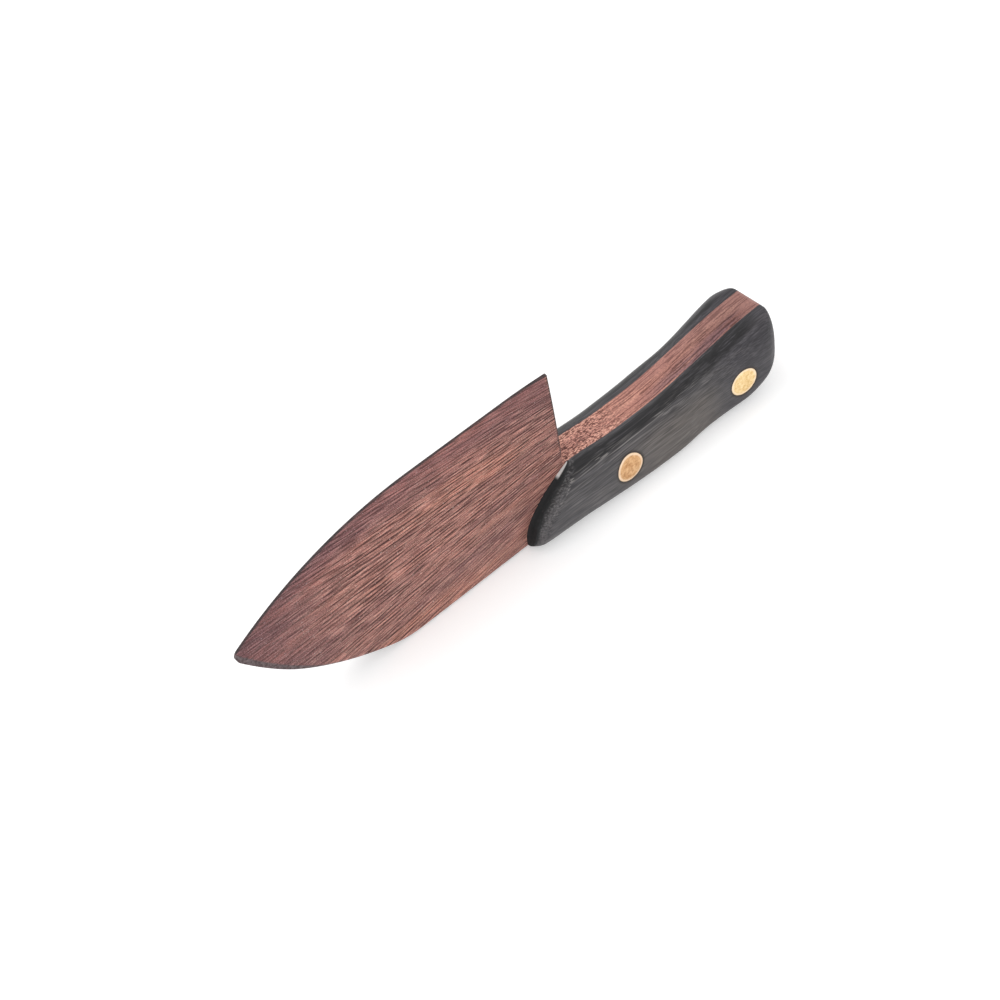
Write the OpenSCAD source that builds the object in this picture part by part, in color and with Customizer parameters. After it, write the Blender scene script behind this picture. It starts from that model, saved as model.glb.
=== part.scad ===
// Wooden kitchen knife, edge up: a hardwood blade with a full tang, two dark
// scales glued to the tang, and two brass pins through scales and tang.
// X runs from the tip to the butt, Y across the thickness, and Z from the
// spine up to the cutting edge. The spine and the handle's back lie on Z = 0.
// Distances along the knife are taken from the front of the grip, which is
// where the tops of the scales meet the heel of the blade.

/* [Blade] */
// Length from the front of the grip to the tip
blade_l = 112.9; // [98:0.1:136]
// Height of the blade at the highest point of its edge
blade_h = 54.8; // [50:0.1:62]
// Height of the tip over the spine
tip_h = 35.7; // [30:0.1:40]
// Thickness of the board that blade and tang are cut from
stock_t = 9; // [6:0.5:12]
// Thickness left at the cutting edge
edge_t = 0.6; // [0.4:0.1:2]
// Height over the heel's fillet where the grind begins
grind_up = 0.7; // [0.3:0.1:6]
// How far the convex grind stands out from a flat one
grind_bulge = 0.35; // [0.1:0.05:0.8]
// Distance to where the edge turns down to the tip
belly_x = 48.8; // [40:0.1:60]
// Distance to where the spine turns up to the tip
sweep_x = 58.4; // [50:0.1:64]
// Radius of that turn
knee_r = 27; // [18:0.5:36]
// Slope, in degrees, at which the turn goes over into the long sweep to the tip
knee_a = 21.4; // [15:0.1:26]
// Radius of the rounded tip
tip_r = 2.8; // [0.8:0.1:3]
// How far the heel corner of the edge lies behind the front of the grip
heel_over = 0.8; // [0:0.1:2]
// How far the edge falls to the heel corner
heel_drop = 0.95; // [0.2:0.05:2]
// Distance to where that fall begins
crown_x = 15; // [10:0.5:30]
// Rounding along both corners of the spine
spine_r = 1.5; // [0.5:0.1:3]

/* [Tang] */
// Length from the front of the grip to the butt
handle_l = 79.8; // [72:0.1:100]
// How far the foot of the heel lies ahead of the heel corner
heel_lean = 2.5; // [0:0.1:4]
// Fillet between the heel and the top of the tang
heel_fillet = 2; // [1:0.1:3]
// Height of the handle at the heel
heel_h = 22.2; // [21:0.1:25]
// Height of the handle at its hollow
grip_h = 20.6; // [18:0.1:22]
// Height of the handle at the butt
butt_h = 26.2; // [24:0.1:32]
// Where the fall from the heel ends and the hollow begins
hollow_x = 20.2; // [16:0.1:26]
// Where the hollow ends and the rise to the butt begins
rise_x = 27.3; // [26:0.1:36]
// Radius of the back corner of the butt
butt_r = 17; // [6:0.5:18]
// Radius of the top corner of the butt
butt_top_r = 1.4; // [1:0.1:4]

/* [Scales] */
// How far the nose of a scale reaches ahead of the front of the grip
nose_l = 18.4; // [14:0.1:24]
// Shape of the front end: 1 is a straight slope, more is a rounder nose
nose_curve = 2.35; // [1.6:0.05:3]
// Thickness of a scale at its nose
nose_t = 6.1; // [4:0.1:7]
// Thickness at the palm swell
palm_t = 7.6; // [6:0.1:9]
// Thickness at the waist behind the swell
waist_t = 7; // [5:0.1:8]
// Thickness at the butt
butt_t = 9.1; // [8:0.1:10.5]
// Distance to the palm swell
palm_x = 37.5; // [28:0.1:44]
// Distance to the waist
waist_x = 48.8; // [45:0.1:58]
// Width of the rounding beside the tang's top
top_round_w = 6.7; // [3:0.1:7.5]
// Height of the same rounding
top_round_h = 11; // [6:0.1:12]
// Height of the rounding along the handle's back, at the swell
back_round = 3.1; // [2:0.1:5]
// Height of the back rounding at the nose
nose_round = 8; // [4:0.1:9]
// Height of the back rounding at the butt
butt_back = 5; // [2:0.1:7]
// How far the nose is lifted off the line of the back
nose_lift = 1.4; // [0:0.1:2]
// Length over which the nose comes down to the back
lift_l = 6; // [4:0.5:14]
// How much thinner a scale is at its front edge
front_thin = 1.9; // [0.5:0.1:3]
// Length over which it swells from there to its full thickness
front_thin_l = 3; // [1.5:0.1:6]
// Rounding of a scale's edge at the butt
butt_round = 7; // [1.5:0.1:7.5]

/* [Pins] */
// Diameter of the brass rod
pin_d = 9.5; // [6:0.1:11]
// Gap of the glue around a pin
pin_gap = 0.05; // [0.02:0.01:0.15]
// Distance to the front pin
pin_front_x = 17; // [13:0.1:22]
// Distance to the rear pin
pin_rear_x = 63.5; // [55:0.1:66]
// Height of both pins over the back
pin_z = 10.5; // [8.5:0.1:12]

/* [Hidden] */
$fn = 180;
half_t = stock_t / 2;
// Steps along a scale, around its back rounding and around its top rounding
steps_u = 44;
steps_back = 6;
steps_top = 10;
// Steps along the top of the tang
steps_top_line = 40;
// Reach of cutting bodies past the stock, and their lap on one another
past = 5;
lap = 1;
// How far the blank's corner reaches into the circle of the heel's fillet
bite = 0.01;

// Front of the edge: an arc tangent to the straight edge and ending at the tip
front_run = blade_l - belly_x;
front_fall = blade_h - tip_h;
front_r = (front_run * front_run + front_fall * front_fall) / (2 * front_fall);
front_c = [-belly_x, blade_h - front_r];
// Turn of the spine: an arc tangent to the spine and ending at the slope knee_a
knee_c = [-sweep_x, knee_r];
knee_n = [sin(knee_a), cos(knee_a)];
knee_end = knee_c - knee_r * knee_n;
// Sweep of the spine: an arc that goes on from there and ends at the tip
tip_run = [-blade_l, tip_h] - knee_end;
sweep_r = (tip_run * tip_run) / (2 * (tip_run * knee_n));
sweep_c = knee_end + sweep_r * knee_n;
sweep_lap_a = lap / sweep_r * 180 / PI;
// Rounded tip: a circle that touches both arcs from within
tip_d = norm(sweep_c - front_c);
tip_u = (sweep_c - front_c) / tip_d;
tip_s = (pow(front_r - tip_r, 2) - pow(sweep_r - tip_r, 2) + tip_d * tip_d) / (2 * tip_d);
tip_n = sqrt(pow(front_r - tip_r, 2) - tip_s * tip_s);
tip_c = front_c + tip_s * tip_u + tip_n * [-tip_u[1], tip_u[0]];
// The middle of the knife's length lies on X = 0
mid_x = (handle_l + tip_c[0] - tip_r) / 2;
// Fall of the edge to the heel corner
crown_run = crown_x + heel_over;
crown_r = (crown_run * crown_run + heel_drop * heel_drop) / (2 * heel_drop);
// The heel leans by this angle, and its fillet touches it and the top of the tang
heel_a = atan(heel_lean / (blade_h - heel_h));
foot_x = heel_over - heel_lean;
fillet_c = [foot_x + heel_fillet * (tan(heel_a) + 1 / cos(heel_a)), heel_h + heel_fillet];
// Convex grind: an arc whose centre is taken from the point where the grind begins
grind_w = blade_h - fillet_c[1] - heel_fillet * sin(heel_a) - grind_up;
grind_fall = half_t - edge_t / 2;
grind_chord = norm([grind_w, grind_fall]);
grind_a = atan(grind_fall / grind_w);
grind_r = grind_chord * grind_chord / (8 * grind_bulge) + grind_bulge / 2;
grind_c = [-grind_fall, grind_w] / 2 - (grind_r - grind_bulge) * [cos(grind_a), sin(grind_a)];

function clamp(s) = max(0, min(1, s));
function ease(s) = (1 - cos(180 * clamp(s))) / 2;
function mix(a, b, s) = a + (b - a) * s;
// Fall of a rounded corner of radius r, at distance s from its end
function corner(r, s) = s >= r ? 0 : r - sqrt(max(0, r * r - (r - s) * (r - s)));

// Side view of the handle: its top line and its back
function top_line(x) = x < rise_x
    ? mix(heel_h, grip_h, ease(x / hollow_x))
    : mix(grip_h, butt_h, ease((x - rise_x) / (handle_l - rise_x)));
function top_z(x) = top_line(x) - corner(butt_top_r, handle_l - x);
function back_z(x) = corner(butt_r, handle_l - x)
    + nose_lift * pow(1 - clamp((x + nose_l) / lift_l), 2);

// Plan view of a scale: its thickness along the handle
function scale_t(x) = x < palm_x
    ? mix(nose_t, palm_t, sin(90 * clamp((x + nose_l) / (palm_x + nose_l))))
    : x < waist_x
    ? mix(palm_t, waist_t, ease((x - palm_x) / (waist_x - palm_x)))
    : mix(waist_t, butt_t, ease((x - waist_x) / (handle_l - waist_x)));
// Front end of a scale at a share h of its height
function nose_x(h) = mix(-nose_l, 0, pow(h, nose_curve));
function back_round_h(x) = x < palm_x
    ? mix(nose_round, back_round, ease((x + nose_l) / (palm_x + nose_l)))
    : mix(back_round, butt_back, ease((x - palm_x) / (handle_l - palm_x)));

// Section of a scale at x, as shares of its thickness and height
function section(x) = let(
        t = scale_t(x),
        h = top_z(x) - back_z(x),
        bh = min(back_round_h(x), 0.4 * h),
        bw = min(bh, 0.9 * t),
        tw = min(top_round_w, 0.95 * t),
        th = min(top_round_h, 0.55 * h))
    concat(
        [[0, 0]],
        [for (i = [0:steps_back]) let(a = 90 * i / steps_back)
            [1 - bw * (1 - sin(a)) / t, bh * (1 - cos(a)) / h]],
        [for (i = [0:steps_top]) let(a = 90 * i / steps_top)
            [1 - tw * (1 - cos(a)) / t, 1 - th * (1 - sin(a)) / h]],
        [[0, 1]]);

// A point of the scale's outside: u runs from nose to butt, q is [share out, share up]
function scale_point(u, q) = let(
        front = nose_x(q[1]),
        x = mix(front, handle_l, u),
        thin = front_thin * pow(1 - clamp((x - front) / front_thin_l), 2),
        t = scale_t(x) - thin - corner(butt_round, handle_l - x))
    [x, half_t + t * q[0], mix(back_z(x), top_z(x), q[1])];

// The solid form of one scale without its bores, on the +Y side
module scale_form() {
    rings = [for (i = [0:steps_u]) let(u = ease(i / steps_u))
        [for (q = section(mix(nose_x(0.5), handle_l, u))) scale_point(u, q)]];
    last = len(rings[0]) - 1;
    n = last + 1;
    front_in = [for (j = [1:last - 1]) [rings[0][j][0], half_t, rings[0][j][2]]];
    end = steps_u * n;
    // Points of the front end on the tang's side
    f = [for (j = [0:last]) j == 0 ? 0 : j == last ? last : end + last + j];
    sides = [for (i = [0:steps_u - 1], j = [0:last - 1]) let(p = i * n + j)
        each [[p, p + n + 1, p + 1], [p, p + n, p + n + 1]]];
    front = [for (j = [0:last - 1]) each concat(
        j == 0 ? [] : [[j, f[j + 1], f[j]], [0, f[j], f[j + 1]]],
        j == last - 1 ? [] : [[j, j + 1, f[j + 1]]])];
    butt = [for (j = [1:last - 1]) [end, end + j + 1, end + j]];
    inner = [for (i = [0:steps_u - 1]) let(p = i * n)
        each [[p, p + last, p + n + last], [p, p + n + last, p + n]]];
    polyhedron(
        points = concat([for (r = rings) each r], front_in),
        faces = concat(sides, front, butt, inner));
}

// Round rod along Y through the handle at x
module rod(x, d, l) {
    translate([x, l / 2, pin_z]) rotate([90, 0, 0]) cylinder(d = d, h = l);
}

module bores() {
    for (x = [pin_front_x, pin_rear_x])
        rod(x, pin_d + 2 * pin_gap, stock_t + 2 * (palm_t + butt_t));
}

// Region of the section outside the convex grind, above z, on both sides
module grind_section(z) {
    for (s = [-1, 1]) difference() {
        translate([s > 0 ? 0 : -half_t - past, z - lap])
            square([half_t + past, lap + grind_w + past]);
        translate([s * (half_t + grind_c[0]), z + grind_c[1]]) circle(r = grind_r, $fn = 4 * $fn);
    }
}

// Region of the section outside the spine's rounded corners, which lie at z
module spine_section(z) {
    for (s = [-1, 1]) difference() {
        translate([s > 0 ? half_t - spine_r : -half_t - past, z - past])
            square([spine_r + past, spine_r + past]);
        translate([s * (half_t - spine_r), z + spine_r]) circle(r = spine_r);
    }
}

// A section drawn as [across, up], run straight along X
module along_x(x0, x1) {
    translate([x0, 0, 0]) rotate([90, 0, 90]) linear_extrude(x1 - x0) children();
}

// A section drawn as [across, out from the centre], turned about a centre in the side view
module about(c, from, to) {
    translate([c[0], 0, c[1]]) rotate([90, 0, 0]) rotate([0, 0, from])
        rotate_extrude(angle = to - from) rotate(-90) children();
}

// What lies outside a circle in a corner of the side view
module outside_arc(from, to, c, r) {
    difference() {
        translate(from) square(to - from);
        translate(c) circle(r = r);
    }
}

// What lies outside the rounded tip
module outside_tip() {
    a = 3 * tip_r * (tip_c - front_c) / norm(tip_c - front_c);
    b = 3 * tip_r * (tip_c - sweep_c) / norm(tip_c - sweep_c);
    difference() {
        polygon([tip_c, tip_c + a, tip_c + a + b, tip_c + b]);
        translate(tip_c) circle(r = tip_r);
    }
}

// Side view of blade and tang before its curves are cut
module blank() {
    left = -blade_l - past;
    difference() {
        polygon(concat(
            [[left, 0], [handle_l, 0]],
            [for (i = [steps_top_line:-1:1]) let(x = handle_l * i / steps_top_line)
                if (x > fillet_c[0]) [x, top_line(x)]],
            [[fillet_c[0], heel_h + bite], fillet_c],
            [fillet_c + (heel_fillet - bite) * [-cos(heel_a), sin(heel_a)]],
            [[heel_over, blade_h], [left, blade_h]]));
        translate(fillet_c) circle(r = heel_fillet);
    }
}

// The same with its butt corners rounded and the edge falling to the heel
module rear_cut() {
    difference() {
        blank();
        outside_arc([-crown_x, heel_h + past], [heel_over + past, blade_h + past],
            [-crown_x, blade_h - crown_r], crown_r);
        outside_arc([handle_l - butt_r, -past], [handle_l + past, butt_r],
            [handle_l - butt_r, butt_r], butt_r);
        outside_arc([handle_l - butt_top_r, butt_h - butt_top_r], [handle_l + past, butt_h + past],
            [handle_l - butt_top_r, butt_h - butt_top_r], butt_top_r);
    }
}

// The finished side view, with belly, turned up spine and rounded tip
module outline() {
    left = -blade_l - past;
    difference() {
        difference() {
            difference() {
                difference() {
                    rear_cut();
                    outside_arc([left, -past], [-belly_x, blade_h + past], front_c, front_r);
                }
                outside_arc([knee_end[0], -past], [-sweep_x, knee_r], knee_c, knee_r);
            }
            outside_arc([left, -past], [knee_end[0] + lap, sweep_c[1]], sweep_c, sweep_r);
        }
        outside_tip();
    }
}

// Blade blank with the convex grind, first straight and then around the belly
module ground() {
    difference() {
        difference() {
            translate([0, half_t, 0]) rotate([90, 0, 0]) linear_extrude(stock_t) outline();
            along_x(-belly_x - lap, heel_over + past) grind_section(blade_h - grind_w);
        }
        about(front_c, 90, 150) grind_section(front_r - grind_w);
    }
}

module blade() {
    color("#91695f") translate([-mid_x, 0, 0]) difference() {
        difference() {
            difference() {
                difference() {
                    ground();
                    along_x(-sweep_x - lap, -nose_l) spine_section(0);
                }
                about(knee_c, 270 - knee_a, 270) mirror([0, 1]) spine_section(-knee_r);
            }
            about(sweep_c, 195, 270 - knee_a + sweep_lap_a) mirror([0, 1]) spine_section(-sweep_r);
        }
        bores();
    }
}

module scale_left() {
    color("#4c484a") translate([-mid_x, 0, 0]) difference() {
        scale_form();
        bores();
    }
}

module scale_right() {
    mirror([0, 1, 0]) scale_left();
}

// A pin, its ends sanded flush with the scales
module pin(x) {
    color("#d9b492") translate([-mid_x, 0, 0]) {
        rod(x, pin_d, stock_t);
        for (s = [0, 1]) mirror([0, s, 0]) intersection() {
            rod(x, pin_d, stock_t + 2 * (palm_t + butt_t));
            scale_form();
        }
    }
}

module pin_front() { pin(pin_front_x); }

module pin_rear() { pin(pin_rear_x); }

blade();
scale_right();
scale_left();
pin_front();
pin_rear();
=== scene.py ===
"""Wooden kitchen knife, edge up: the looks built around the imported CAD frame."""

import math

import bmesh
import bpy
from mathutils import Matrix, Vector
from mathutils.bvhtree import BVHTree

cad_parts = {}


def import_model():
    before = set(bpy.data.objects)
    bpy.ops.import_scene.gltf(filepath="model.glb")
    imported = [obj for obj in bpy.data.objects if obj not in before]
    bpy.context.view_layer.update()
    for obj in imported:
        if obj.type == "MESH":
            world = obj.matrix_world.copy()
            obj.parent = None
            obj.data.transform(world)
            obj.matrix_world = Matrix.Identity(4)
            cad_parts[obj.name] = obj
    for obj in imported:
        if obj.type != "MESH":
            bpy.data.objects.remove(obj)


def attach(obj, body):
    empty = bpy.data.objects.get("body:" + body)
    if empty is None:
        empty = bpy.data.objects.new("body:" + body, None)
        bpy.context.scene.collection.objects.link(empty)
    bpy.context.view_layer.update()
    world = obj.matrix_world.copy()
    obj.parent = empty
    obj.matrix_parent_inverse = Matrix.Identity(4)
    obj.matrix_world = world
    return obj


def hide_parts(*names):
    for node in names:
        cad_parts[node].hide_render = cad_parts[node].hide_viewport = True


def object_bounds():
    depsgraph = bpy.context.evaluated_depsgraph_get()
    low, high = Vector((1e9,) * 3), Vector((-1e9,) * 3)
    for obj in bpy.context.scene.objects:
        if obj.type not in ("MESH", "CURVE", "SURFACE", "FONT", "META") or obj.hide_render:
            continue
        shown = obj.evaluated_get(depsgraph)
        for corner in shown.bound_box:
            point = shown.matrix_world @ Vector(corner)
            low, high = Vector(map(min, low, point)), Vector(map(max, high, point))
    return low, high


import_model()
cad_box = [list(corner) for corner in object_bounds()]

MM = 0.001

# Sizes in millimetres, named as in the part's source
BLADE_L, BLADE_H, TIP_H = 112.9, 54.8, 35.7
HALF_T, EDGE_T, GRIND_UP, GRIND_BULGE = 4.5, 0.6, 0.7, 0.35
BELLY_X, SWEEP_X, KNEE_R, KNEE_A = 48.8, 58.4, 27.0, math.radians(21.4)
TIP_R, HEEL_OVER, HEEL_DROP, CROWN_X, SPINE_R = 2.8, 0.8, 0.95, 15.0, 1.5
SPINE_FADE = 5.0
HANDLE_L, HEEL_LEAN, HEEL_FILLET = 79.8, 2.5, 2.0
HEEL_H, GRIP_H, BUTT_H = 22.2, 20.6, 26.2
HOLLOW_X, RISE_X, BUTT_R, BUTT_TOP_R = 20.2, 27.3, 17.0, 1.4
NOSE_L, NOSE_CURVE = 18.4, 2.35
NOSE_T, PALM_T, WAIST_T, BUTT_T = 6.1, 7.6, 7.0, 9.1
PALM_X, WAIST_X = 37.5, 48.8
TOP_ROUND_W, TOP_ROUND_H = 6.7, 11.0
BACK_ROUND, NOSE_ROUND, BUTT_BACK = 3.1, 8.0, 5.0
# Largest shares of a scale's height and thickness that its roundings take
BACK_MOST_H, BACK_MOST_T, TOP_MOST_H, TOP_MOST_T = 0.4, 0.9, 0.55, 0.95
NOSE_LIFT, LIFT_L = 1.4, 6.0
FRONT_THIN, FRONT_THIN_L, BUTT_ROUND = 1.9, 3.0, 7.0
PIN_D, PIN_GAP, PIN_Z = 9.5, 0.05, 10.5
PIN_X = {"pin_front": 17.0, "pin_rear": 63.5}
WIDEST = cad_box[1][1] / MM
# The scales' front corner is worn farther back above their lower end than in the solids
WORN_THIN, WORN_THIN_L, WORN_FROM, WORN_RISE = 3.2, 4.0, 0.1, 0.5

# How the meshes are built, in millimetres and steps
SHARP = math.radians(32)
MERGE, SLIVER = 0.004, 0.002
ROUND_STEPS, CUTTER_L, RAY_FROM = 96, 60.0, 40.0
TIP_FINE, HEEL_BLEND, TANG_BLEND, TANG_FINE = 14.0, 20.0, 6.0, 4.0
TIP_COLUMNS, BLADE_COLUMNS, HEEL_COLUMNS = 26, 62, [-1.4, -0.9, -0.5, -0.25, 0]
FILLET_COLUMNS, TANG_COLUMNS, BUTT_COLUMNS = 9, 90, 16
SPINE_ROWS = [0, 0.002, 0.005, 0.009, 0.014, 0.02, 0.027, 0.036, 0.05, 0.07, 0.1, 0.14]
MIDDLE_ROWS, GRIND_ROWS, EDGE_ROWS = 9, 22, [0.965, 0.978, 0.987, 0.993, 0.997, 1.0]
SCALE_COLUMNS, SCALE_STEPS = 150, (12, 10, 24)
PIN_RINGS = [0.12, 0.3, 0.5, 0.68, 0.82, 0.92, 0.97, 0.99, 1.0]
PIN_FALL, PIN_EDGE = 0.09, 0.96

# Widths of the zones that materials read from the meshes, in millimetres
LAND, EDGE_RIM, HEEL_RIM = 0.1, 0.35, 0.45
EDGE_ZONE, SPINE_ZONE, FRONT_ZONE = 40.0, 3.0, 4.0
TANG_TOP_LOW, TANG_TOP_RISE = 1.2, 0.9
# Where those zones end around the heel, and how near a point lies to a scale's front face to be on it
RIM_OVER_FOOT, RIM_FOOT_X, RIM_BACK_X = 3.5, -6.0, 2.0
BLADE_LOW_Z, BLADE_BACK_X = 24.0, -5.0
TANG_TOP_AHEAD, TANG_TOP_HIGH = 1.9, 28.0
TOUCH_SIDE, TOUCH_FRONT = 0.01, 0.05

# Values that follow from the sizes
FRONT_RUN, FRONT_FALL = BLADE_L - BELLY_X, BLADE_H - TIP_H
FRONT_R = (FRONT_RUN ** 2 + FRONT_FALL ** 2) / (2 * FRONT_FALL)
FRONT_C = Vector((-BELLY_X, BLADE_H - FRONT_R))
KNEE_C = Vector((-SWEEP_X, KNEE_R))
KNEE_N = Vector((math.sin(KNEE_A), math.cos(KNEE_A)))
KNEE_END = KNEE_C - KNEE_R * KNEE_N
TIP_RUN = Vector((-BLADE_L, TIP_H)) - KNEE_END
SWEEP_R = TIP_RUN.length_squared / (2 * TIP_RUN.dot(KNEE_N))
SWEEP_C = KNEE_END + SWEEP_R * KNEE_N
HEEL_A = math.atan(HEEL_LEAN / (BLADE_H - HEEL_H))
FILLET_C = Vector((HEEL_OVER - HEEL_LEAN + HEEL_FILLET * (math.tan(HEEL_A) + 1 / math.cos(HEEL_A)),
                   HEEL_H + HEEL_FILLET))
GRIND_W = BLADE_H - FILLET_C[1] - HEEL_FILLET * math.sin(HEEL_A) - GRIND_UP
GRIND_FALL = HALF_T - EDGE_T / 2
GRIND_A = math.atan(GRIND_FALL / GRIND_W)
GRIND_R = (GRIND_W ** 2 + GRIND_FALL ** 2) / (8 * GRIND_BULGE) + GRIND_BULGE / 2
GRIND_N = Vector((math.cos(GRIND_A), math.sin(GRIND_A)))
GRIND_C = Vector((-GRIND_FALL, GRIND_W)) / 2 - (GRIND_R - GRIND_BULGE) * GRIND_N
CROWN_R = ((CROWN_X + HEEL_OVER) ** 2 + HEEL_DROP ** 2) / (2 * HEEL_DROP)


def tip_circle():
    """Centre of the rounded tip, which touches belly and sweep from within."""
    a, b = FRONT_R - TIP_R, SWEEP_R - TIP_R
    way = SWEEP_C - FRONT_C
    along = way.normalized()
    s = (a * a - b * b + way.length_squared) / (2 * way.length)
    return FRONT_C + s * along + math.sqrt(a * a - s * s) * Vector((-along[1], along[0]))


TIP_C = tip_circle()
TIP_X = TIP_C[0] - TIP_R
MID_X = (HANDLE_L + TIP_X) / 2


def clamp(s):
    """The value, held between 0 and 1."""
    return max(0.0, min(1.0, s))


def ease(s):
    """Half a cosine wave, from 0 at 0 to 1 at 1."""
    return (1 - math.cos(math.pi * clamp(s))) / 2


def mix(a, b, s):
    """a at share 0 and b at share 1."""
    return a + (b - a) * s


def corner(r, s):
    """Fall of a rounded corner of radius r, at distance s from its end."""
    return 0.0 if s >= r else r - math.sqrt(max(0.0, r * r - (r - s) ** 2))


def spread(count, low, high):
    """Even steps, both ends included."""
    return [low + (high - low) * i / (count - 1) for i in range(count)]


def at(x, y, z):
    """A point of the knife, given from the heel in millimetres, in the frame's metres."""
    return Vector(((x - MID_X) * MM, y * MM, z * MM))


# Outline and thickness of the blade

def heel_x(z):
    """Place of the leaning heel at height z."""
    return HEEL_OVER - HEEL_LEAN * (BLADE_H - z) / (BLADE_H - HEEL_H)


def edge_z(x):
    """Height of the cutting edge at x."""
    if x > -CROWN_X:
        return BLADE_H - CROWN_R + math.sqrt(CROWN_R ** 2 - (x + CROWN_X) ** 2)
    if x > -BELLY_X:
        return BLADE_H
    touch = TIP_C + TIP_R * (TIP_C - FRONT_C).normalized()
    if x > touch[0]:
        return FRONT_C[1] + math.sqrt(FRONT_R ** 2 - (x - FRONT_C[0]) ** 2)
    return TIP_C[1] + math.sqrt(max(0.0, TIP_R ** 2 - (x - TIP_C[0]) ** 2))


def spine_z(x):
    """Height of the spine at x."""
    if x > -SWEEP_X:
        return 0.0
    if x > KNEE_END[0]:
        return KNEE_C[1] - math.sqrt(KNEE_R ** 2 - (x - KNEE_C[0]) ** 2)
    touch = TIP_C + TIP_R * (TIP_C - SWEEP_C).normalized()
    if x > touch[0]:
        return SWEEP_C[1] - math.sqrt(SWEEP_R ** 2 - (x - SWEEP_C[0]) ** 2)
    return TIP_C[1] - math.sqrt(max(0.0, TIP_R ** 2 - (x - TIP_C[0]) ** 2))


def to_edge(x, z):
    """Distance from the cutting edge."""
    if x > -BELLY_X:
        return edge_z(x) - z
    return FRONT_R - (Vector((x, z)) - FRONT_C).length


def to_spine(x, z):
    """Distance from the spine."""
    if x > -SWEEP_X:
        return z
    place = Vector((x, z))
    if (place - KNEE_END).dot(Vector((KNEE_N[1], -KNEE_N[0]))) > 0:
        return KNEE_R - (place - KNEE_C).length
    return SWEEP_R - (place - SWEEP_C).length


def half_thickness(x, z):
    """Half of the blade's thickness: flat stock, then the convex grind, and the spine's rounding."""
    d = BLADE_H - z if x > -BELLY_X else to_edge(x, z)
    y = HALF_T
    if d < GRIND_W:
        up = GRIND_W - max(d, 0.0)
        y = HALF_T + GRIND_C[0] + math.sqrt(GRIND_R ** 2 - (up - GRIND_C[1]) ** 2)
    r = SPINE_R * (1 - ease((x + NOSE_L) / SPINE_FADE))
    e = to_spine(x, z)
    if e < r:
        y = min(y, HALF_T - r + math.sqrt(max(0.0, r * r - (r - max(e, 0.0)) ** 2)))
    return y


# Outline and thickness of the handle

def top_line(x):
    """Height of the handle's top, without the butt's rounded corner."""
    if x < RISE_X:
        return mix(HEEL_H, GRIP_H, ease(x / HOLLOW_X))
    return mix(GRIP_H, BUTT_H, ease((x - RISE_X) / (HANDLE_L - RISE_X)))


def top_z(x):
    """Height of the handle's top."""
    return top_line(x) - corner(BUTT_TOP_R, HANDLE_L - x)


def back_z(x):
    """Height of the tang's back, which lies down on the spine's side."""
    return corner(BUTT_R, HANDLE_L - x)


def scale_back_z(x):
    """Height of a scale's back, which is lifted a little at the nose."""
    return back_z(x) + NOSE_LIFT * (1 - clamp((x + NOSE_L) / LIFT_L)) ** 2


def scale_t(x):
    """Thickness of a scale from nose to palm, waist and butt."""
    if x < PALM_X:
        return mix(NOSE_T, PALM_T, math.sin(math.pi / 2 * clamp((x + NOSE_L) / (PALM_X + NOSE_L))))
    if x < WAIST_X:
        return mix(PALM_T, WAIST_T, ease((x - PALM_X) / (WAIST_X - PALM_X)))
    return mix(WAIST_T, BUTT_T, ease((x - WAIST_X) / (HANDLE_L - WAIST_X)))


def nose_x(h):
    """Place of a scale's front end at share h of its height."""
    return mix(-NOSE_L, 0.0, h ** NOSE_CURVE)


def back_round_h(x):
    """Height of the rounding along a scale's back."""
    if x < PALM_X:
        return mix(NOSE_ROUND, BACK_ROUND, ease((x + NOSE_L) / (PALM_X + NOSE_L)))
    return mix(BACK_ROUND, BUTT_BACK, ease((x - PALM_X) / (HANDLE_L - PALM_X)))


def section(x, steps_back, steps_side, steps_top):
    """Section of a scale at x, as shares of its thickness and height."""
    t = scale_t(x)
    h = top_z(x) - scale_back_z(x)
    bh = min(back_round_h(x), BACK_MOST_H * h)
    bw = min(bh, BACK_MOST_T * t)
    tw, th = min(TOP_ROUND_W, TOP_MOST_T * t), min(TOP_ROUND_H, TOP_MOST_H * h)
    back = [(1 - bw * (1 - math.sin(a)) / t, bh * (1 - math.cos(a)) / h)
            for a in spread(steps_back, 0, math.pi / 2)]
    side = [(1.0, s) for s in spread(steps_side + 2, bh / h, 1 - th / h)[1:-1]]
    top = [(1 - tw * (1 - math.cos(a)) / t, 1 - th * (1 - math.sin(a)) / h)
           for a in spread(steps_top, 0, math.pi / 2)]
    return [(0.0, 0.0)] + back + side + top + [(0.0, 1.0)]


def scale_point(u, q):
    """A point of a scale's outside: u runs from nose to butt, q is share out, share up."""
    front = nose_x(q[1])
    x = mix(front, HANDLE_L, u)
    worn = ease((q[1] - WORN_FROM) / WORN_RISE)
    length = mix(FRONT_THIN_L, WORN_THIN_L, worn)
    thin = mix(FRONT_THIN, WORN_THIN, worn) * (1 - clamp((x - front) / length)) ** 2
    t = scale_t(x) - thin - corner(BUTT_ROUND, HANDLE_L - x)
    return x, min(HALF_T + t * q[0], WIDEST), mix(scale_back_z(x), top_z(x), q[1])


# Mesh helpers

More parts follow.
